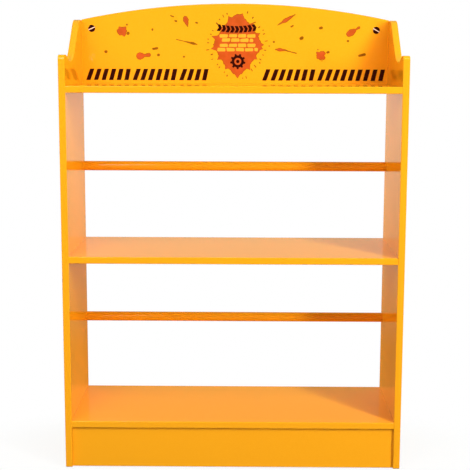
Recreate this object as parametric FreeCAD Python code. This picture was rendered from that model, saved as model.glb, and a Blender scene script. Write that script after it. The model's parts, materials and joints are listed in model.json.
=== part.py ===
import FreeCAD, Part
import math
import os

# A child's two-bay bookcase in lacquered board, held together by cam fittings and dowels. Millimetres.
# +Z is up and the front faces -Y. The origin is the middle of the footprint, on the floor.

Vector = FreeCAD.Vector

# ---- Driving dimensions ----
WIDTH = 600.0
DEPTH = 226.0
BOARD = 12.0  # thickness of every board
EDGE_R = 1.3  # rounding of the lacquered edges
GLIDE_H = 2.0  # the side panels stand on glides this thick

BOTTOM_SHELF_TOP = 88.0
MIDDLE_SHELF_TOP = 386.5
TOP_SHELF_TOP = 683.5
SIDE_FRONT_TOP = 736.0
SIDE_BACK_TOP = 800.0
ARCH_END = 801.0  # top of the back panel where it meets a side panel
ARCH_CROWN = 831.0

SHELF_RECESS = 1.0  # the shelves' front edges behind the side panels' front edges
KICK_RECESS = 5.5
KICK_LIFT = 2.5  # the kick panel's lower edge above the floor

RAIL_R = 9.0
RAIL_SOCKET = 6.0  # depth of a rail's blind socket in a side panel
RAIL_TO_BACK = 11.0  # the rails' axis in front of the back plane
RAIL_HEIGHTS = {"lower_rail": 231.5, "upper_rail": 526.0}

# ---- Fittings ----
CLEAR = 0.1  # radial clearance of a fitting in its hole
END_CLEAR = 0.3  # room past the end of a fitting in a blind hole

CAM_R = 7.4
CAM_H = 9.6
CAM_SUNK = 0.2  # a cam's face below the board's face
CAM_SETBACK = 24.0  # a cam's axis from the end of its board
CAVITY_R = 5.6
CAVITY_H = 5.8
CAVITY_SHIFT = 0.3  # the cavity is off centre, so the wall wedges the bolt's head as the cam turns
NECK_SLOT = 3.4
NECK_SLOT_FROM = -20.0  # the slot's two ends, in degrees round the cam from the bolt
NECK_SLOT_TO = 190.0
ENTRY_R = 3.0  # the window at the slot's far end that lets the bolt's head in

BOLT_HEAD_R = 2.7
BOLT_HEAD_TAPER = 0.6  # the head's shoulder slopes to suit the cam's round wall
BOLT_NECK_R = 1.5
BOLT_SHANK_R = 2.7
BOLT_HOLE_R = 3.0
THREAD_R = 2.5
THREAD_CORE_R = 1.9
THREAD_PITCH = 1.4
THREAD_TURNS = 6

DOWEL_R = 3.0
DOWEL_LONG = 18.0  # the length in the end of a board
DOWEL_SHORT = 8.5  # the length in the face of a board
DOWEL_CHAMFER = 1.0
FLUTES = 10
FLUTE_R = 0.35

GLIDE_R = 5.0
GLIDE_INSET = 25.0  # the glides' axes from the front and back planes
NAIL_R = 0.9
NAIL_HEAD_R = 2.0
NAIL_HEAD_H = 0.8
NAIL_SUNK = 0.5
NAIL_IN_BOARD = 12.0

# ---- Worked out from the above ----
HALF = WIDTH / 2
INNER = HALF - BOARD  # inner face of a side panel
FRONT = -DEPTH / 2
BACK = DEPTH / 2
BACK_MID_Y = BACK - BOARD / 2
KICK_MID_Y = FRONT + KICK_RECESS + BOARD / 2
BOTTOM_SHELF_UNDER = BOTTOM_SHELF_TOP - BOARD
THREAD_LENGTH = THREAD_PITCH * THREAD_TURNS
LEFT_RIGHT = (-1, 1)
DOWN = Vector(0, 0, -1)
REAR = Vector(0, 1, 0)

# Side panel's outline seen from its side: distance behind the front edge, height, corner radius.
SIDE_CORNERS = [
    (0.0, GLIDE_H, 3.0),
    (0.0, SIDE_FRONT_TOP, 8.0),
    (22.0, SIDE_FRONT_TOP, 30.0),
    (86.0, 713.0, 80.0),  # the sweep between the low front and the high back
    (185.0, SIDE_BACK_TOP, 40.0),
    (DEPTH, SIDE_BACK_TOP, 8.0),
    (DEPTH, GLIDE_H, 3.0),
]

# Fittings in each end of each board: the face its cams go in through, and where the bolts and dowels
# lie, as distance behind the front plane and height.
SHELF_BOLTS_Y = (37.0, DEPTH - 37.0)
SHELF_DOWELS_Y = (69.0, DEPTH - 69.0)


def shelf_fittings(top):
    z = top - BOARD / 2
    return {"face": DOWN, "bolts": [(y, z) for y in SHELF_BOLTS_Y], "dowels": [(y, z) for y in SHELF_DOWELS_Y]}


BOARD_ENDS = {
    "top_shelf": shelf_fittings(TOP_SHELF_TOP),
    "middle_shelf": shelf_fittings(MIDDLE_SHELF_TOP),
    "bottom_shelf": shelf_fittings(BOTTOM_SHELF_TOP),
    "back_panel": {
        "face": REAR,
        "bolts": [(BACK_MID_Y - FRONT, TOP_SHELF_TOP + 70.0)],
        "dowels": [(BACK_MID_Y - FRONT, TOP_SHELF_TOP + 35.0)],
    },
    "kick_panel": {
        "face": REAR,
        "bolts": [(KICK_MID_Y - FRONT, 48.0)],
        "dowels": [(KICK_MID_Y - FRONT, 22.0)],
    },
}
BACK_BASE_DOWELS_X = (-220.0, -80.0, 80.0, 220.0)
KICK_TOP_DOWELS_X = (-200.0, 0.0, 200.0)


# ---- Shape helpers ----
def box(x_range, y_range, z_range):
    size = [high - low for low, high in (x_range, y_range, z_range)]
    return Part.makeBox(*size, Vector(x_range[0], y_range[0], z_range[0]))


def rod(radius, start, direction, length):
    return Part.makeCylinder(radius, length, start, direction)


def turned(profile):
    """The solid that a closed outline of (x, radius) points sweeps about the X axis."""
    points = [Vector(x, 0, r) for x, r in profile]
    face = Part.Face(Part.makePolygon(points + points[:1]))
    return face.revolve(Vector(0, 0, 0), Vector(1, 0, 0), 360)


def placed(shape, x_dir, z_dir, at):
    """A copy of a piece drawn about the origin, with its X and Z turned to these directions."""
    turn = FreeCAD.Rotation(x_dir, z_dir.cross(x_dir), z_dir, "ZXY")
    copy = shape.copy()
    copy.Placement = FreeCAD.Placement(at, turn)
    return copy


def rounded_outline(corners):
    """A closed wire of straight runs joined by tangent arcs; each corner is a point and its radius."""
    edges = []
    last = None
    first = None
    for i, (corner, radius) in enumerate(corners):
        to_previous = (corners[i - 1][0] - corner).normalize()
        to_next = (corners[(i + 1) % len(corners)][0] - corner).normalize()
        half_angle = to_previous.getAngle(to_next) / 2
        run = radius / math.tan(half_angle)
        start, end = corner + to_previous * run, corner + to_next * run
        inward = (to_previous + to_next).normalize()
        middle = corner + inward * (radius / math.sin(half_angle) - radius)
        if last is not None:
            edges.append(Part.LineSegment(last, start).toShape())
        edges.append(Part.Arc(start, middle, end).toShape())
        first = first or start
        last = end
    edges.append(Part.LineSegment(last, first).toShape())
    return Part.Wire(edges)


def edges_along_x(solid):
    return [edge for edge in solid.Edges if abs(edge.tangentAt(edge.FirstParameter).x) > 0.99]


def drilled(board, name):
    """The board with the cam holes, bolt holes and dowel holes of both its ends."""
    fittings = BOARD_ENDS[name]
    face = fittings["face"]
    cutters = []
    for side in LEFT_RIGHT:
        inward = Vector(-side, 0, 0)
        for y, z in fittings["bolts"]:
            end = Vector(side * INNER, FRONT + y, z)
            cutters.append(rod(BOLT_HOLE_R, end, inward, CAM_SETBACK))
            mouth = end + inward * CAM_SETBACK + face * (BOARD / 2)
            cutters.append(rod(CAM_R + CLEAR, mouth, face * -1, CAM_SUNK + CAM_H + END_CLEAR))
        for y, z in fittings["dowels"]:
            end = Vector(side * INNER, FRONT + y, z)
            cutters.append(rod(DOWEL_R + CLEAR, end, inward, DOWEL_LONG + END_CLEAR))
    return board.cut(cutters)


# ---- Boards and rails ----
def side_panel(side):
    corners = [(Vector(side * HALF, FRONT + y, z), r) for y, z, r in SIDE_CORNERS]
    panel = Part.Face(rounded_outline(corners)).extrude(Vector(-side * BOARD, 0, 0))
    flat_edges = [edge for edge in panel.Edges if edge.BoundBox.XLength < 0.01]
    panel = panel.makeFillet(EDGE_R, flat_edges)

    outward = Vector(side, 0, 0)
    cutters = []
    for fittings in BOARD_ENDS.values():
        for y, z in fittings["bolts"]:
            mouth = Vector(side * INNER, FRONT + y, z)
            cutters.append(rod(THREAD_R + CLEAR, mouth, outward, THREAD_LENGTH + END_CLEAR))
        for y, z in fittings["dowels"]:
            mouth = Vector(side * INNER, FRONT + y, z)
            cutters.append(rod(DOWEL_R + CLEAR, mouth, outward, DOWEL_SHORT + END_CLEAR))
    for height in RAIL_HEIGHTS.values():
        mouth = Vector(side * INNER, BACK - RAIL_TO_BACK, height)
        cutters.append(rod(RAIL_R + CLEAR, mouth, outward, RAIL_SOCKET))
    for foot in glide_places(side):
        cutters.append(rod(NAIL_R + CLEAR, foot, Vector(0, 0, 1), NAIL_IN_BOARD + GLIDE_H + END_CLEAR))
    return panel.cut(cutters)


def shelf(name, top):
    board = box((-INNER, INNER), (FRONT + SHELF_RECESS, BACK), (top - BOARD, top))
    board = drilled(board.makeFillet(EDGE_R, edges_along_x(board)), name)
    if name == "top_shelf":
        holes = [
            rod(DOWEL_R + CLEAR, Vector(x, BACK_MID_Y, top), DOWN, DOWEL_SHORT + END_CLEAR)
            for x in BACK_BASE_DOWELS_X
        ]
        board = board.cut(holes)
    if name == "bottom_shelf":
        holes = [
            rod(DOWEL_R + CLEAR, Vector(x, KICK_MID_Y, top - BOARD), Vector(0, 0, 1), DOWEL_SHORT + END_CLEAR)
            for x in KICK_TOP_DOWELS_X
        ]
        board = board.cut(holes)
    return board


def back_panel():
    """The board across the top of the back, with an arched upper edge."""
    y = BACK - BOARD
    foot_left, end_left = Vector(-INNER, y, TOP_SHELF_TOP), Vector(-INNER, y, ARCH_END)
    foot_right, end_right = Vector(INNER, y, TOP_SHELF_TOP), Vector(INNER, y, ARCH_END)
    outline = Part.Wire([
        Part.LineSegment(foot_left, end_left).toShape(),
        Part.Arc(end_left, Vector(0, y, ARCH_CROWN), end_right).toShape(),
        Part.LineSegment(end_right, foot_right).toShape(),
        Part.LineSegment(foot_right, foot_left).toShape(),
    ])
    board = Part.Face(outline).extrude(Vector(0, BOARD, 0))
    arched = [edge for edge in board.Edges if isinstance(edge.Curve, Part.Circle)]
    board = drilled(board.makeFillet(EDGE_R, arched), "back_panel")
    holes = [
        rod(DOWEL_R + CLEAR, Vector(x, BACK_MID_Y, TOP_SHELF_TOP), Vector(0, 0, 1), DOWEL_LONG + END_CLEAR)
        for x in BACK_BASE_DOWELS_X
    ]
    return board.cut(holes)


def kick_panel():
    front = FRONT + KICK_RECESS
    board = box((-INNER, INNER), (front, front + BOARD), (KICK_LIFT, BOTTOM_SHELF_UNDER))
    board = drilled(board.makeFillet(EDGE_R, edges_along_x(board)), "kick_panel")
    holes = [
        rod(DOWEL_R + CLEAR, Vector(x, KICK_MID_Y, BOTTOM_SHELF_UNDER), DOWN, DOWEL_LONG + END_CLEAR)
        for x in KICK_TOP_DOWELS_X
    ]
    return board.cut(holes)


def rail(height):
    """A round rail whose two ends sit in the side panels' sockets."""
    reach = INNER + RAIL_SOCKET - END_CLEAR
    bar = rod(RAIL_R, Vector(-reach, BACK - RAIL_TO_BACK, height), Vector(1, 0, 0), 2 * reach)
    ends = [edge for edge in bar.Edges if edge.BoundBox.XLength < 0.01]
    return bar.makeChamfer(1.0, ends)


# ---- Fittings, drawn about the origin: X points to the side panel and Z into the board ----
def cam():
    """A cam lock: a drum with an off-centre cavity, a slot for the bolt's neck and a driver recess."""
    face_z = CAM_SUNK - BOARD / 2
    up = Vector(0, 0, 1)
    drum = rod(CAM_R, Vector(0, 0, face_z), up, CAM_H)
    rims = [edge for edge in drum.Edges if isinstance(edge.Curve, Part.Circle)]
    drum = drum.makeChamfer(0.4, rims)

    cavity = rod(CAVITY_R, Vector(-CAVITY_SHIFT, 0, -CAVITY_H / 2), up, CAVITY_H)
    slot_low = Vector(0, 0, -NECK_SLOT / 2)
    slot = Part.makeCylinder(CAM_R + 1, NECK_SLOT, slot_low, up, NECK_SLOT_TO - NECK_SLOT_FROM)
    slot.rotate(Vector(0, 0, 0), up, NECK_SLOT_FROM)
    entry_angle = math.radians(NECK_SLOT_TO)
    entry_way = Vector(math.cos(entry_angle), math.sin(entry_angle), 0)
    entry = rod(ENTRY_R, Vector(0, 0, 0), entry_way, CAM_R + 1)

    recess_half, recess_width, recess_depth = 4.2, 1.3, 2.0
    long_way = box((-recess_half, recess_half), (-recess_width / 2, recess_width / 2), (0, recess_depth))
    cross = long_way.fuse(long_way.rotated(Vector(0, 0, 0), up, 90)).rotated(Vector(0, 0, 0), up, 45)
    cross.translate(Vector(0, 0, face_z))
    tip, tail, spread, mark_depth = CAM_R - 0.8, CAM_R - 2.2, 1.0, 0.5
    arrow = [Vector(tip, 0, face_z), Vector(tail, spread, face_z), Vector(tail, -spread, face_z)]
    mark = Part.Face(Part.makePolygon(arrow + arrow[:1])).extrude(Vector(0, 0, mark_depth))
    return drum.cut([cavity, slot, entry, cross, mark])


def cam_bolt():
    """A bolt that screws into a side panel, with a thin neck and a head for the cam to hold."""
    wall = math.sqrt(CAVITY_R**2 - BOLT_NECK_R**2) - CAVITY_SHIFT  # inner face of the cam's wall, at the slot
    head_end, head_start = wall - 0.1, wall - 2.2
    neck_end = CAM_R + 1.0
    profile = [
        (head_start, 0.0),
        (head_start, BOLT_HEAD_R - 0.7),
        (head_start + 0.7, BOLT_HEAD_R),
        (head_end - BOLT_HEAD_TAPER, BOLT_HEAD_R),
        (head_end, BOLT_NECK_R),
        (neck_end, BOLT_NECK_R),
        (neck_end + 1.2, BOLT_SHANK_R),
        (CAM_SETBACK, BOLT_SHANK_R),
        (CAM_SETBACK, THREAD_CORE_R),
    ]
    for turn in range(THREAD_TURNS):
        start = CAM_SETBACK + turn * THREAD_PITCH
        profile.append((start + THREAD_PITCH * 0.5, THREAD_R))
        profile.append((start + THREAD_PITCH, THREAD_CORE_R))
    profile.append((CAM_SETBACK + THREAD_LENGTH, 0.0))
    return turned(profile)


def dowel():
    """A fluted wooden dowel: X = 0 is the joint line and +X goes into the face of the other board."""
    low, high, nose = -DOWEL_LONG, DOWEL_SHORT, DOWEL_R - DOWEL_CHAMFER
    body = turned([
        (low, 0.0),
        (low, nose),
        (low + DOWEL_CHAMFER, DOWEL_R),
        (high - DOWEL_CHAMFER, DOWEL_R),
        (high, nose),
        (high, 0.0),
    ])
    flutes = []
    for i in range(FLUTES):
        angle = 2 * math.pi * i / FLUTES
        start = Vector(low - 1, DOWEL_R * math.cos(angle), DOWEL_R * math.sin(angle))
        flutes.append(rod(FLUTE_R, start, Vector(1, 0, 0), high - low + 2))
    return body.cut(flutes)


def end_pieces(piece, name, kind, setback):
    """One copy of a fitting at each place in both ends of a board."""
    fittings = BOARD_ENDS[name]
    copies = []
    for side in LEFT_RIGHT:
        for y, z in fittings[kind]:
            at = Vector(side * (INNER - setback), FRONT + y, z)
            copies.append(placed(piece, Vector(side, 0, 0), fittings["face"] * -1, at))
    return Part.makeCompound(copies)


def standing_dowels(xs, y, z, x_dir):
    return Part.makeCompound([placed(dowel(), x_dir, Vector(0, 1, 0), Vector(x, y, z)) for x in xs])


# ---- Glides ----
def glide_places(side):
    return [Vector(side * (HALF - BOARD / 2), y, 0) for y in (FRONT + GLIDE_INSET, BACK - GLIDE_INSET)]


def all_glide_places():
    return [foot for side in LEFT_RIGHT for foot in glide_places(side)]


def glide(foot):
    """A plastic disc under a side panel, with a counterbore for its nail."""
    up = Vector(0, 0, 1)
    disc = rod(GLIDE_R, foot, up, GLIDE_H)
    lower_rim = [edge for edge in disc.Edges if edge.BoundBox.ZMax < 0.01]
    disc = disc.makeChamfer(0.5, lower_rim)
    counterbore = rod(NAIL_HEAD_R + CLEAR, foot, up, NAIL_SUNK + NAIL_HEAD_H)
    return disc.cut([counterbore, rod(NAIL_R + CLEAR, foot, up, GLIDE_H)])


def glide_nail(foot):
    up = Vector(0, 0, 1)
    head = rod(NAIL_HEAD_R, foot + up * NAIL_SUNK, up, NAIL_HEAD_H)
    shank_length = GLIDE_H - NAIL_SUNK + NAIL_IN_BOARD
    shank = rod(NAIL_R, foot + up * NAIL_SUNK, up, shank_length)
    point_length = 2.0
    point = Part.makeCone(NAIL_R, 0.2, point_length, foot + up * (NAIL_SUNK + shank_length - point_length))
    blunt = shank.cut(rod(NAIL_R + 1, foot + up * (NAIL_SUNK + shank_length - point_length), up, point_length))
    return head.fuse([blunt, point]).removeSplitter()


# ---- Every piece by name ----
def build():
    pieces = {
        "left_side": side_panel(-1),
        "right_side": side_panel(1),
        "top_shelf": shelf("top_shelf", TOP_SHELF_TOP),
        "middle_shelf": shelf("middle_shelf", MIDDLE_SHELF_TOP),
        "bottom_shelf": shelf("bottom_shelf", BOTTOM_SHELF_TOP),
        "back_panel": back_panel(),
        "kick_panel": kick_panel(),
        "back_base_dowels": standing_dowels(BACK_BASE_DOWELS_X, BACK_MID_Y, TOP_SHELF_TOP, DOWN),
        "kick_top_dowels": standing_dowels(KICK_TOP_DOWELS_X, KICK_MID_Y, BOTTOM_SHELF_UNDER, DOWN * -1),
        "glides": Part.makeCompound([glide(foot) for foot in all_glide_places()]),
        "glide_nails": Part.makeCompound([glide_nail(foot) for foot in all_glide_places()]),
    }
    for name, height in RAIL_HEIGHTS.items():
        pieces[name] = rail(height)
    for board in BOARD_ENDS:
        pieces[board + "_cams"] = end_pieces(cam(), board, "bolts", CAM_SETBACK)
        pieces[board + "_bolts"] = end_pieces(cam_bolt(), board, "bolts", CAM_SETBACK)
        pieces[board + "_dowels"] = end_pieces(dowel(), board, "dowels", 0.0)
    return pieces


os.makedirs("parts", exist_ok=True)
for name, shape in build().items():
    shape.exportStep("parts/" + name + ".step")
    print(name, "solids", len(shape.Solids), "valid", shape.isValid(), "volume", round(shape.Volume))
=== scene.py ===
import bmesh
import bpy
import json
import math
import random
from mathutils import Matrix, Vector


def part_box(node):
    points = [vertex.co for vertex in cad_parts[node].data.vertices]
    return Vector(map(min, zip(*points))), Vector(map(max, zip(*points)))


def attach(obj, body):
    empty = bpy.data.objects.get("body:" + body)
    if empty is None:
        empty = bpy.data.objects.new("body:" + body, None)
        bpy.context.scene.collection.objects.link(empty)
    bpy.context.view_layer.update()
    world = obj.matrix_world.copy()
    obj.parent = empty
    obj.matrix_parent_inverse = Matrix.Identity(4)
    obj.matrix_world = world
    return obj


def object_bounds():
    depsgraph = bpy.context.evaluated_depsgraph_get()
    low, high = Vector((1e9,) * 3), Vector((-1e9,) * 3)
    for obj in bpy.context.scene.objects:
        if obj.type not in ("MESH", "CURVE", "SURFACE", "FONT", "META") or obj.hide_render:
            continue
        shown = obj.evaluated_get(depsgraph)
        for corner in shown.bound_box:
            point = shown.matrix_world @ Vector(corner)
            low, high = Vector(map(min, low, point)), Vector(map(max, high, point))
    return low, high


# A child's bookcase in high-gloss lacquer. Metres, in the CAD frame: +Z up, front faces -Y,
# origin on the floor in the middle of the footprint.

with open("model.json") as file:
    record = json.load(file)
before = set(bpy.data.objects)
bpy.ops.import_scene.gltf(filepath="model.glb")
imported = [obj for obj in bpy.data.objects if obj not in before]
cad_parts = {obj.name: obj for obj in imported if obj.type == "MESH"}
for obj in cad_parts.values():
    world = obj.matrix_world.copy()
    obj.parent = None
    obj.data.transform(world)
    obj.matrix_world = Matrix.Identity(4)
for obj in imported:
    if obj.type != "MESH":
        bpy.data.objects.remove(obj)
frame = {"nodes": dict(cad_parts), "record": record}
cad_low, cad_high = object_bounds()

MM = 0.001

# ---- The back panel's printed face, which every printed piece is laid out on ----
panel_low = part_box("back_panel")[0]
PRINT_Y = panel_low.y
PRINT_FOOT = panel_low.z  # the panel stands on the top shelf here
INK_PROUD = 0.12 * MM
INK_SUNK = 0.04 * MM  # how far a printed piece reaches into the board, so that no gap shows


# ---- Materials ----
class Graph:
    """One material's node tree.

    Inputs are given as keywords: i3 is a node's input number 3, and Base_Color is its "Base Color".
    Their values are numbers, colours, or sockets of other nodes."""

    def __init__(self, name):
        self.material = bpy.data.materials.new(name)
        self.material.use_nodes = True
        self.tree = self.material.node_tree
        self.shader = self.tree.nodes["Principled BSDF"]
        self.place = self.add("ShaderNodeTexCoord").outputs["Object"]

    def add(self, kind, settings=None, **inputs):
        node = self.tree.nodes.new(kind)
        for key, value in (settings or {}).items():
            setattr(node, key, value)
        self.feed(node, **inputs)
        return node

    def feed(self, node, **inputs):
        for key, value in inputs.items():
            numbered = key[0] == "i" and key[1:].isdigit()
            socket = node.inputs[int(key[1:]) if numbered else key.replace("_", " ")]
            if isinstance(value, bpy.types.NodeSocket):
                self.tree.links.new(value, socket)
            else:
                socket.default_value = value

    def stretched(self, factors):
        """The place on the object, with each axis multiplied by its factor."""
        made = self.add("ShaderNodeVectorMath", {"operation": "MULTIPLY"}, i0=self.place, i1=factors)
        return made.outputs[0]

    def noise(self, scale, detail=2.0, stretch=None):
        """Cloudy noise about 0.5, at a scale in waves a metre. A stretch under 1 draws it out."""
        place = self.stretched(stretch) if stretch else self.place
        made = self.add("ShaderNodeTexNoise", Vector=place, Scale=scale, Detail=detail, Roughness=0.5)
        return made.outputs["Fac"]

    def ramp(self, value, low=0.3, high=0.7, to_low=0.0, to_high=1.0):
        """Spreads a value from low..high to to_low..to_high. Noise lies mostly from 0.3 to 0.7."""
        made = self.add("ShaderNodeMapRange", None, i0=value, i1=low, i2=high, i3=to_low, i4=to_high)
        return made.outputs[0]

    def blend(self, share, first, second):
        """A colour that goes from the first to the second as the share goes from 0 to 1."""
        mix = self.add("ShaderNodeMix", {"data_type": "RGBA"})
        self.feed(mix, i0=share, i6=first, i7=second)
        return mix.outputs[2]

    def bump(self, height, distance, normal=None):
        """A normal for a surface that rises by this distance as the height goes from 0 to 1."""
        made = self.add("ShaderNodeBump", Strength=1.0, Distance=distance, Height=height)
        if normal:
            self.feed(made, Normal=normal)
        return made.outputs["Normal"]


def colour(r, g, b):
    return (r, g, b, 1.0)


def lacquer(name, peel_height, wave_height):
    """Sprayed gloss lacquer: slight orange peel, a little uneven in depth of colour and in gloss."""
    g = Graph(name)
    cloud = g.ramp(g.noise(scale=5.0), 0.35, 0.65)
    mottle = g.ramp(g.noise(scale=420.0, detail=1.0))
    film = g.blend(cloud, colour(0.98, 0.398, 0.007), colour(0.97, 0.385, 0.006))
    tone = g.blend(mottle, film, colour(0.99, 0.407, 0.009))
    peel = g.bump(g.noise(scale=190.0, detail=1.0), peel_height)
    wave = g.bump(g.noise(scale=14.0, detail=1.0), wave_height, peel)
    gloss = g.ramp(g.noise(scale=32.0, detail=3.0), to_low=0.07, to_high=0.12)
    g.feed(g.shader, Base_Color=tone, Roughness=gloss, Normal=wave, IOR=1.45)
    return g.material


def beech():
    """Sanded beech with fine grain along the dowel."""
    g = Graph("beech")
    grain = g.noise(scale=900.0, detail=3.0, stretch=(0.12, 1.0, 1.0))
    tone = g.blend(g.ramp(grain, 0.35, 0.65), colour(0.60, 0.37, 0.18), colour(0.72, 0.50, 0.28))
    rough = g.ramp(grain, to_low=0.55, to_high=0.7)
    g.feed(g.shader, Base_Color=tone, Roughness=rough, Normal=g.bump(grain, 0.05 * MM))
    return g.material


def cast_zinc():
    """Die-cast zinc: dull grey metal with a slightly pitted skin."""
    g = Graph("cast_zinc")
    pits = g.noise(scale=1500.0)
    stain = g.ramp(g.noise(scale=120.0), 0.35, 0.65)
    tone = g.blend(stain, colour(0.42, 0.43, 0.44), colour(0.55, 0.55, 0.55))
    rough = g.ramp(pits, to_low=0.32, to_high=0.5)
    g.feed(g.shader, Base_Color=tone, Metallic=1.0, Roughness=rough, Normal=g.bump(pits, 0.03 * MM))
    return g.material


def plated_steel():
    """Zinc-plated steel, brighter and smoother than the casting."""
    g = Graph("plated_steel")
    lines = g.noise(scale=1200.0, stretch=(3.0, 0.4, 0.4))
    tone = g.blend(g.ramp(lines), colour(0.60, 0.60, 0.57), colour(0.72, 0.72, 0.68))
    rough = g.ramp(lines, to_low=0.2, to_high=0.34)
    g.feed(g.shader, Base_Color=tone, Metallic=1.0, Roughness=rough, Normal=g.bump(lines, 0.01 * MM))
    return g.material


def glide_plastic():
    """Natural polyethylene, scuffed where it meets the floor."""
    g = Graph("glide_plastic")
    scuff = g.noise(scale=700.0, detail=4.0)
    tone = g.blend(g.ramp(scuff, 0.4, 0.7), colour(0.74, 0.72, 0.66), colour(0.60, 0.58, 0.52))
    rough = g.ramp(scuff, to_low=0.4, to_high=0.65)
    g.feed(g.shader, Base_Color=tone, Roughness=rough, Normal=g.bump(scuff, 0.02 * MM))
    return g.material


def ink(name, deep, light):
    """Screen-printed ink: a thin film, duller than the lacquer and a little uneven in cover."""
    g = Graph(name)
    cover = g.ramp(g.noise(scale=70.0, detail=3.0), 0.35, 0.65)
    grain = g.noise(scale=1600.0)
    tone = g.blend(cover, deep, light)
    rough = g.ramp(grain, to_low=0.30, to_high=0.42)
    skin = g.bump(grain, 0.004 * MM)
    g.feed(g.shader, Base_Color=tone, Roughness=rough, Normal=skin, Specular_IOR_Level=0.08)
    return g.material


SLOT_MATERIALS = {
    "lacquered_board": lacquer("board_lacquer", peel_height=0.012 * MM, wave_height=0.08 * MM),
    "dowel_wood": beech(),
    "cam_zinc": cast_zinc(),
    "fitting_steel": plated_steel(),
    "glide_plastic": glide_plastic(),
}

BROWN_INK = ink("brown_ink", colour(0.022, 0.0018, 0.0003), colour(0.030, 0.0026, 0.0005))
RUST_INK = ink("rust_ink", colour(0.50, 0.080, 0.009), colour(0.58, 0.096, 0.015))
OCHRE_INK = ink("ochre_ink", colour(0.25, 0.086, 0.001), colour(0.30, 0.102, 0.0015))
AMBER_INK = ink("amber_ink", colour(0.90, 0.39, 0.022), colour(0.93, 0.42, 0.03))
PALE_INK = ink("pale_ink", colour(0.93, 0.70, 0.50), colour(0.95, 0.75, 0.56))


def dress_cad_nodes():
    """Each CAD node takes the finish of its slot in the record, and the rails a smoother lacquer."""
    for subpart in frame["record"]["subparts"]:
        node = frame["nodes"][subpart["node"]]
        node.data.materials.clear()
        node.data.materials.append(SLOT_MATERIALS[subpart["material_slot"]])
    smooth = lacquer("rail_lacquer", peel_height=0.003 * MM, wave_height=0.02 * MM)
    for name in ("upper_rail", "lower_rail"):
        frame["nodes"][name].data.materials[0] = smooth


# ---- Printed pieces: flat outlines in panel millimetres, X from the middle and Z above the top shelf ----
def printed(name, outlines, material, layer=0):
    """One piece of thin closed prisms, one for each outline; a higher layer stands proud of a lower one."""
    back_y = PRINT_Y + INK_SUNK
    thickness = INK_SUNK + (layer + 1) * INK_PROUD
    mesh = bmesh.new()
    for outline in outlines:
        back = [mesh.verts.new((x * MM, back_y, PRINT_FOOT + z * MM)) for x, z in outline]
        face = mesh.faces.new(back)
        raised = bmesh.ops.extrude_face_region(mesh, geom=[face])["geom"]
        moved = [v for v in raised if isinstance(v, bmesh.types.BMVert)]
        bmesh.ops.translate(mesh, verts=moved, vec=(0, -thickness, 0))
    bmesh.ops.recalc_face_normals(mesh, faces=mesh.faces)
    data = bpy.data.meshes.new(name)
    mesh.to_mesh(data)
    mesh.free()
    data.materials.append(material)
    piece = bpy.data.objects.new(name, data)
    bpy.context.collection.objects.link(piece)
    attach(piece, "root")


def turned_to(x, z, turn, points):
    """Points drawn about the origin, turned this many degrees and moved to (x, z)."""
    c = math.cos(math.radians(turn))
    s = math.sin(math.radians(turn))
    return [(x + u * c - w * s, z + u * s + w * c) for u, w in points]


BLOT_STEPS = 72
STRAND_STEPS = 6  # points in each section of a strand
THINNEST_HALF = 0.15  # a strand ends where its half width falls below this
SHORTEST_REACH = 0.05  # from a dash's middle to the middle of its round end
DASH_TAPER = 0.9


def blot(x, z, long_r, short_r, turn, seed, inset=0.0):
    """A round drop of mud, with a few waves of random size and place in its outline."""
    draw = random.Random(seed)
    waves = [(k, draw.uniform(0.05, 0.11), draw.uniform(0, math.tau)) for k in (3, 4, 6, 9)]
    points = []
    for i in range(BLOT_STEPS):
        a = math.tau * i / BLOT_STEPS
        lump = 1 + sum(size * math.cos(k * a + phase) for k, size, phase in waves)
        points.append(((long_r * lump - inset) * math.cos(a), (short_r * lump - inset) * math.sin(a)))
    return turned_to(x, z, turn, points)


def strand(x, z, turn, sections, inset=0.0):
    """A drop with a tail, round ended: sections are (distance along it, half width)."""
    upper = []
    for (u0, w0), (u1, w1) in zip(sections, sections[1:]):
        for i in range(STRAND_STEPS):
            t = i / STRAND_STEPS
            upper.append((u0 + (u1 - u0) * t, w0 + (w1 - w0) * (1 - math.cos(math.pi * t)) / 2))
    upper.append(sections[-1])
    upper = [(u, w - inset) for u, w in upper if w - inset > THINNEST_HALF]
    first_u, first_w = upper[0]
    last_u, last_w = upper[-1]
    round_end = [math.radians(d) for d in (30, 60, 90, 120, 150)]
    far_cap = [(last_u + last_w * math.sin(a), last_w * math.cos(a)) for a in round_end]
    near_cap = [(first_u - first_w * math.sin(a), -first_w * math.cos(a)) for a in round_end]
    lower = [(u, -w) for u, w in reversed(upper)]
    return turned_to(x, z, turn, upper + far_cap + lower + near_cap)


def dash(x, z, half_long, half_thick, turn=0.0):
    """A small drop, centred here, a little longer than it is thick and a little thinner at its near end."""
    reach = max(half_long - half_thick, SHORTEST_REACH)
    return strand(x, z, turn, [(-reach, half_thick * DASH_TAPER), (reach, half_thick)])


# -- hazard stripes --
STRIPE_LOW = 5.0
STRIPE_HIGH = 26.2
STRIPE_WIDTH = 8.2
STRIPE_PITCH = 14.4
LEAN_FIRST = 7.8  # each group's bars stand up a little more from left to right
LEAN_LAST = 4.6
GROUP_GAP = 1.44  # extra room between two groups
LEFT_STRIPES = (-281, (6, 6, 4))  # where the row starts, and the bars in each group
RIGHT_STRIPES = (51.5, (1, 6, 9))


def stripe_run(first_x, groups):
    """The slanting bars of one row of hazard stripes."""
    bars = []
    x = first_x
    for count in groups:
        for i in range(count):
            lean = LEAN_FIRST + (LEAN_LAST - LEAN_FIRST) * i / max(count - 1, 1)
            bars.append([
                (x, STRIPE_LOW),
                (x + STRIPE_WIDTH, STRIPE_LOW),
                (x + STRIPE_WIDTH + lean, STRIPE_HIGH),
                (x + lean, STRIPE_HIGH),
            ])
            x += STRIPE_PITCH
        x += GROUP_GAP
    return bars


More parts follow.
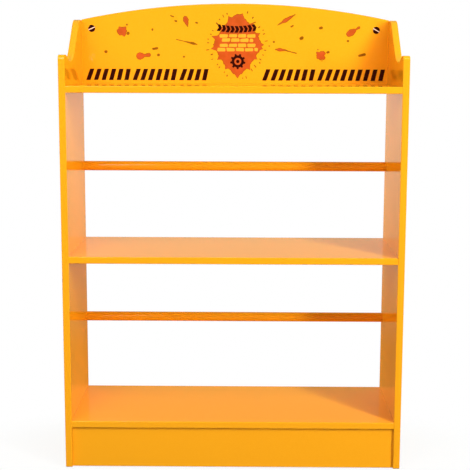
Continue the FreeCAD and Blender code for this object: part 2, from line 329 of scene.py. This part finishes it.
def hazard_stripes():
    printed("left_hazard_stripes", stripe_run(*LEFT_STRIPES), BROWN_INK)
    printed("right_hazard_stripes", stripe_run(*RIGHT_STRIPES), BROWN_INK)


# -- printed screw heads --
SCREW_R = 6.6
SCREW_SLOT = 1.8
SLOT_REACH = 0.96  # the slot's half length, as a share of the head's radius
DISC_STEPS = 40


def disc(x, z, radius):
    angles = [math.tau * i / DISC_STEPS for i in range(DISC_STEPS)]
    return [(x + radius * math.cos(a), z + radius * math.sin(a)) for a in angles]


def screw_head(name, x, z, turn):
    """A dark round head with a pale slot across it."""
    printed(name, [disc(x, z, SCREW_R)], BROWN_INK)
    long = SCREW_R * SLOT_REACH
    half = SCREW_SLOT / 2
    slot = [(-long, -half), (long, -half), (long, half), (-long, half)]
    printed(name + "_slot", [turned_to(x, z, turn, slot)], PALE_INK, layer=1)


def screw_heads():
    screw_head("left_printed_screw", -269, 101, 24)
    screw_head("right_printed_screw", 265, 99, -30)


# -- mud --
RIM = 1.1  # width of the darker rim round each blot

# A blot is a shape and its values, because it is drawn twice: whole, and without its rim.
LEFT_BLOTS = [
    (blot, (-212, 96, 9.5, 9, 0, 3)),
    (strand, (-179, 50, 7, [(0, 7), (5, 5.5), (9.5, 2.5), (13.5, 3.5), (17, 4)])),
    (strand, (-93, 120, -74, [(0, 4.5), (3, 5.5), (9, 3.5), (16, 0.8)])),
]
LEFT_DROPS = [
    dash(-150, 64, 6, 2.3, 10),
    dash(-203, 108, 2, 1.9),
    dash(-201, 92, 3.5, 3, 60),
    dash(-243, 58, 3.5, 2.8),
    dash(-155, 99, 2.5, 2, 80),
    dash(-144, 52, 3, 2.7, 30),
    dash(-118, 124, 4, 1.2, -20),
    dash(-111, 115, 3, 1.7, -15),
    dash(-72, 112, 2.8, 1.6, -10),
    dash(-96, 49, 2.2, 1.8),
    strand(-110, 81, -13, [(0, 0.8), (14, 0.7), (24, 1.5), (32, 2.5), (40, 0.9)]),
]
RIGHT_BLOTS = [
    (blot, (162, 52, 9, 8.7, 0, 11)),
    (strand, (214, 92, 33, [(0, 5.5), (5, 6.5), (11, 4.5), (16, 1.7), (22, 2.5)])),
    (strand, (80, 108, 31, [(0, 0.7), (7, 1.6), (17, 4), (24, 3), (38, 0.9)])),
    (strand, (77, 63, -4, [(0, 1.4), (7.5, 3.3), (15, 2), (20, 1.2)])),
]
RIGHT_DROPS = [
    strand(96, 61, -14, [(0, 1.2), (10, 0.9), (20, 1.1)]),
    dash(107, 106, 3.5, 1.6, 28),
    dash(161, 103, 4, 2.7, 15),
    dash(125, 84, 4.5, 3.2, 28),
    dash(73, 77, 2.3, 2.1),
    dash(175, 58, 3.5, 2.3, 20),
    dash(156, 63, 1.4, 1.1, -40),
    dash(164, 42, 1.3, 1, 40),
    dash(212, 79, 2.5, 2),
    dash(239, 53, 7.5, 2.5, 14),
]


def blots_and_drops(side, blots, drops):
    """The blots and small drops on one side: the blots are ochre with a rust core, the drops all ochre."""
    rims = [shape(*values) for shape, values in blots]
    printed(side + "_mud_rims", rims + drops, OCHRE_INK)
    cores = [shape(*values, inset=RIM) for shape, values in blots]
    printed(side + "_mud_cores", cores, RUST_INK, layer=1)


def mud():
    blots_and_drops("left", LEFT_BLOTS, LEFT_DROPS)
    blots_and_drops("right", RIGHT_BLOTS, RIGHT_DROPS)


# -- the badge: a splash with a row of chevrons, courses of bricks and a cog --
BADGE_X = 5.0
BADGE_Z = 71.5
BADGE_HALF_WIDTH = 44.0
BADGE_HALF_HEIGHT = 57.0
BADGE_POWER = 1.28  # 1 would be a plain diamond and 2 an ellipse
SPIKES = 40
SPIKE_STEPS = 6
SPIKE_CURVE = 1.8  # 1 would give straight sides, and more gives hollow ones
TICKS = 34
TICK_LOWEST = 8.0
TICK_HIGHEST = 132.0
CHEVRONS_X = BADGE_X - 3.0
CHEVRONS_Z = 100
CHEVRONS_SAG = 0.19
CHEVRONS_TURN = 2.2  # degrees from one chevron to the next
COG_X = BADGE_X + 0.5
COG_Z = 40.5
COURSES = [(62.5, 4.5), (70.5, 4), (80, 3.5), (88, 4)]  # height of each, and the bricks in it


def splash_radius(a):
    """The splash's radius at an angle, without its spikes."""
    across = abs(math.cos(a)) / BADGE_HALF_WIDTH
    upward = abs(math.sin(a)) / BADGE_HALF_HEIGHT
    return (across ** BADGE_POWER + upward ** BADGE_POWER) ** (-1 / BADGE_POWER)


def splash(inset=0.0):
    """A splash taller than it is wide, with a rim of uneven spikes, of which every third is a long one."""
    draw = random.Random(21)
    reach = [draw.uniform(0.3, 3.0) if i % 3 else draw.uniform(5.0, 11.0) for i in range(SPIKES)]
    points = []
    for i in range(SPIKES * SPIKE_STEPS):
        a = math.tau * i / (SPIKES * SPIKE_STEPS)
        spike = i // SPIKE_STEPS
        share = (i % SPIKE_STEPS) / SPIKE_STEPS
        falling = (1 - share) ** SPIKE_CURVE * reach[spike]
        rising = share ** SPIKE_CURVE * reach[(spike + 1) % SPIKES]
        r = splash_radius(a) + max(falling, rising) - inset
        points.append((BADGE_X + r * math.cos(a), BADGE_Z + r * math.sin(a)))
    return points


def thrown_ticks():
    """Short dashes thrown outwards round the splash."""
    draw = random.Random(8)
    ticks = []
    for i in range(TICKS):
        a = math.tau * (i + draw.uniform(-0.35, 0.35)) / TICKS
        r = splash_radius(a) + draw.uniform(10.0, 16.0)
        x = BADGE_X + r * math.cos(a)
        z = BADGE_Z + r * math.sin(a)
        if TICK_LOWEST < z < TICK_HIGHEST:
            ticks.append(dash(x, z, draw.uniform(1.5, 3.2), draw.uniform(0.8, 1.3), math.degrees(a)))
    return ticks


def chevron_row():
    """Arrow-shaped bars in a row that sags a little in the middle."""
    count, pitch, half_height, half_width, point = 9, 8.15, 6.2, 3.0, 3.0
    shapes = []
    for i in range(count):
        off = i - (count - 1) / 2
        x = CHEVRONS_X + off * pitch
        z = CHEVRONS_Z + CHEVRONS_SAG * off * off
        right = [(half_width, -half_height), (half_width + point, 0.0), (half_width, half_height)]
        left = [(-half_width, half_height), (point - half_width, 0.0), (-half_width, -half_height)]
        shapes.append(turned_to(x, z, CHEVRONS_TURN * off, right + left))
    return shapes


def brick(x, z, half_width, half_height, draw):
    """A hand-drawn brick: an uneven four-sided shape with cut corners."""
    cut = 1.2
    shake = 0.5
    corners = [(-1, -1), (1, -1), (1, 1), (-1, 1)]
    points = []
    for sx, sz in corners:
        u = sx * half_width + draw.uniform(-shake, shake)
        w = sz * half_height + draw.uniform(-shake, shake)
        along, across = (u - sx * cut, w), (u, w - sz * cut)
        points += [across, along] if sx == sz else [along, across]
    return turned_to(x, z, 0.0, points)


def brickwork():
    """Courses of bricks, each centred, so the joints shift by a quarter of a brick between courses."""
    draw = random.Random(4)
    length, height, joint = 15.4, 6.0, 1.9
    shapes = []
    for z, bricks in COURSES:
        x = BADGE_X - bricks / 2 * (length + joint)
        shares = [1.0] * int(bricks) + [0.5] * (bricks % 1 > 0)  # a half brick ends the course
        for share in shares:
            wide = share * (length + joint)
            shapes.append(brick(x + wide / 2, z, (wide - joint) / 2, height / 2, draw))
            x += wide
    return shapes


def cog(x, z, outer, root, teeth, turn):
    """A cog's outline, with sloping flanks and flat tips."""
    tooth = ((0.0, root), (0.22, root), (0.34, outer), (0.66, outer), (0.78, root))
    points = []
    for i in range(teeth):
        for share, r in tooth:  # share of the tooth's angle, and the radius there
            a = math.tau * (i + share) / teeth
            points.append((r * math.cos(a), r * math.sin(a)))
    return turned_to(x, z, turn, points)


def badge():
    printed("badge_rim", [splash()] + thrown_ticks(), OCHRE_INK)
    printed("badge_splash", [splash(inset=RIM)], RUST_INK, layer=1)
    printed("badge_chevrons", chevron_row(), BROWN_INK, layer=2)
    printed("badge_bricks", brickwork(), AMBER_INK, layer=2)
    printed("badge_cog", [cog(COG_X, COG_Z, 14.5, 11.4, teeth=9, turn=9.0)], BROWN_INK, layer=2)
    printed("badge_cog_web", [disc(COG_X, COG_Z, 6.6)], RUST_INK, layer=3)
    printed("badge_cog_hub", [disc(COG_X, COG_Z, 3.2)], BROWN_INK, layer=4)


# ---- Floor, light and camera ----
FLOOR_R = 1.1
FLOOR_DEPTH_SHARE = 2.2  # how much sooner the floor thins out towards the back and front than sideways
FLOOR_THINS_FROM = 0.28  # distance sideways from the middle
FLOOR_GONE_AT = 0.60
FLOOR_CLEARNESS = 0.88  # share of the backdrop that shows through the floor under the object


def floor_surface():
    """A pale matt floor, thinned so that its shadows are faint, that fades out into the plain backdrop."""
    g = Graph("pale_floor")
    mottle = g.noise(scale=60.0, detail=3.0)
    tone = g.blend(mottle, colour(0.90, 0.90, 0.89), colour(0.94, 0.94, 0.93))
    g.feed(g.shader, Base_Color=tone, Roughness=0.7)
    across = g.stretched((1.0, FLOOR_DEPTH_SHARE, 0.0))
    far = g.add("ShaderNodeVectorMath", {"operation": "LENGTH"}, i0=across).outputs["Value"]
    fade = g.add("ShaderNodeMapRange", {"interpolation_type": "SMOOTHSTEP"}, i0=far)
    g.feed(fade, i1=FLOOR_THINS_FROM, i2=FLOOR_GONE_AT, i3=FLOOR_CLEARNESS)
    clear = g.add("ShaderNodeBsdfTransparent")
    mix = g.add("ShaderNodeMixShader", None, i0=fade.outputs[0], i1=g.shader.outputs[0], i2=clear.outputs[0])
    g.tree.links.new(mix.outputs[0], g.tree.nodes["Material Output"].inputs["Surface"])
    return g.material


def pale_floor():
    mesh = bmesh.new()
    bmesh.ops.create_circle(mesh, cap_ends=True, radius=FLOOR_R, segments=96)
    data = bpy.data.meshes.new("studio_floor")
    mesh.to_mesh(data)
    mesh.free()
    data.materials.append(floor_surface())
    floor = bpy.data.objects.new("studio_floor", data)
    bpy.context.collection.objects.link(floor)
    floor.visible_diffuse = False
    floor.visible_glossy = False


# What the object sees behind it: sine of the elevation, and the glow there.
REAR_GLOW = [
    (-0.25, colour(0.40, 0.20, 0.05)),  # a warm floor
    (-0.05, colour(0.90, 0.70, 0.50)),  # the bright foot of a cream wall
    (0.15, colour(0.75, 0.65, 0.50)),
    (0.30, colour(0.60, 0.40, 0.25)),  # the wall's shaded upper part
    (0.70, colour(0.20, 0.50, 0.25)),
]
ROOM_GLOW = colour(0.14, 0.14, 0.14)
REAR_BLEND = 0.06  # half width of the band where the glow behind passes into the room in front


def studio_world():
    """A white backdrop to the camera; to the object, a soft warm glow behind and a dim room in front."""
    world = bpy.data.worlds.new("studio")
    bpy.context.scene.world = world
    world.use_nodes = True
    tree = world.node_tree
    tree.nodes.clear()

    def add(kind, **settings):
        node = tree.nodes.new(kind)
        for key, value in settings.items():
            setattr(node, key, value)
        return node

    def join(source, socket):
        tree.links.new(source, socket)

    def share(axis, low, high):
        """How far the view direction's part along an axis is from low to high, 0 to 1."""
        made = add("ShaderNodeMapRange")
        made.inputs[1].default_value = low
        made.inputs[2].default_value = high
        join(way.outputs[axis], made.inputs[0])
        return made.outputs[0]

    way = add("ShaderNodeSeparateXYZ")
    join(add("ShaderNodeTexCoord").outputs["Generated"], way.inputs[0])
    lowest = REAR_GLOW[0][0]
    highest = REAR_GLOW[-1][0]
    glow = add("ShaderNodeValToRGB")
    stops = glow.color_ramp.elements
    for i, (height, tint) in enumerate(REAR_GLOW):
        place = (height - lowest) / (highest - lowest)
        stop = stops[i] if i < 2 else stops.new(place)  # a new ramp has two stops already
        stop.position = place
        stop.color = tint
    join(share("Z", lowest, highest), glow.inputs[0])
    rear = add("ShaderNodeMix", data_type="RGBA")
    rear.inputs[6].default_value = ROOM_GLOW
    join(glow.outputs[0], rear.inputs[7])
    join(share("Y", -REAR_BLEND, REAR_BLEND), rear.inputs[0])
    room = add("ShaderNodeBackground")
    join(rear.outputs[2], room.inputs["Color"])
    backdrop = add("ShaderNodeBackground")
    backdrop.inputs["Color"].default_value = colour(1.0, 1.0, 1.0)
    mix = add("ShaderNodeMixShader")
    join(add("ShaderNodeLightPath").outputs["Is Camera Ray"], mix.inputs[0])
    join(room.outputs[0], mix.inputs[1])
    join(backdrop.outputs[0], mix.inputs[2])
    join(mix.outputs[0], add("ShaderNodeOutputWorld").inputs["Surface"])


def softbox(name, azimuth, elevation, distance, width, height, watts, mirrored=True):
    """An area light that looks at the middle of the object. Azimuth 0 is in front, 90 to the right.

    A light that isn't mirrored leaves the gloss alone, which a low one would burn out in other views."""
    target = (cad_low + cad_high) / 2
    a = math.radians(azimuth)
    e = math.radians(elevation)
    way = Vector((math.sin(a) * math.cos(e), -math.cos(a) * math.cos(e), math.sin(e)))
    light = bpy.data.lights.new(name, "AREA")
    light.shape = "RECTANGLE"
    light.size = width
    light.size_y = height
    light.energy = watts
    lamp = bpy.data.objects.new(name, light)
    lamp.location = target + way * distance
    lamp.rotation_mode = "QUATERNION"
    lamp.rotation_quaternion = (-way).to_track_quat("-Z", "Y")
    lamp.visible_glossy = mirrored
    bpy.context.collection.objects.link(lamp)


def studio_lights():
    softbox("key_strip", 40.0, 22.0, 2.8, 0.35, 2.0, 70.0, mirrored=False)
    softbox("key_high", 30.0, 52.0, 5.0, 1.3, 1.3, 50.0)
    softbox("fill_high", -22.0, 35.0, 2.2, 0.8, 0.8, 12.0)
    softbox("fill_left", -40.0, 20.0, 1.7, 1.0, 1.0, 6.5, mirrored=False)
    softbox("back_soft", 180.0, -8.0, 5.0, 2.0, 1.0, 100.0, mirrored=False)
    softbox("left_soft", -95.0, 4.0, 5.0, 2.0, 1.0, 100.0, mirrored=False)


CAMERA_AT = (0.0188, -2.0815, 0.7397)
CAMERA_SENSOR = 36.0  # mm
CAMERA_LENS = 87.72  # mm
CAMERA_LEFT = 0.458  # degrees to the left of straight ahead
CAMERA_DOWN = 9.030  # degrees below level
CAMERA_ROLL = 0.191


def camera():
    data = bpy.data.cameras.new("camera")
    data.sensor_width = CAMERA_SENSOR
    data.lens = CAMERA_LENS
    cam = bpy.data.objects.new("camera", data)
    turn = Matrix.Rotation(math.radians(CAMERA_LEFT), 4, "Z")
    tilt = Matrix.Rotation(math.radians(90 - CAMERA_DOWN), 4, "X")
    roll = Matrix.Rotation(math.radians(CAMERA_ROLL), 4, "Z")
    cam.matrix_world = Matrix.Translation(CAMERA_AT) @ turn @ tilt @ roll
    bpy.context.collection.objects.link(cam)
    bpy.context.scene.camera = cam


# ---- Everything ----
hazard_stripes()
screw_heads()
mud()
badge()
dress_cad_nodes()
pale_floor()
studio_world()
studio_lights()
camera()
bpy.context.scene.view_settings.view_transform = "Standard"
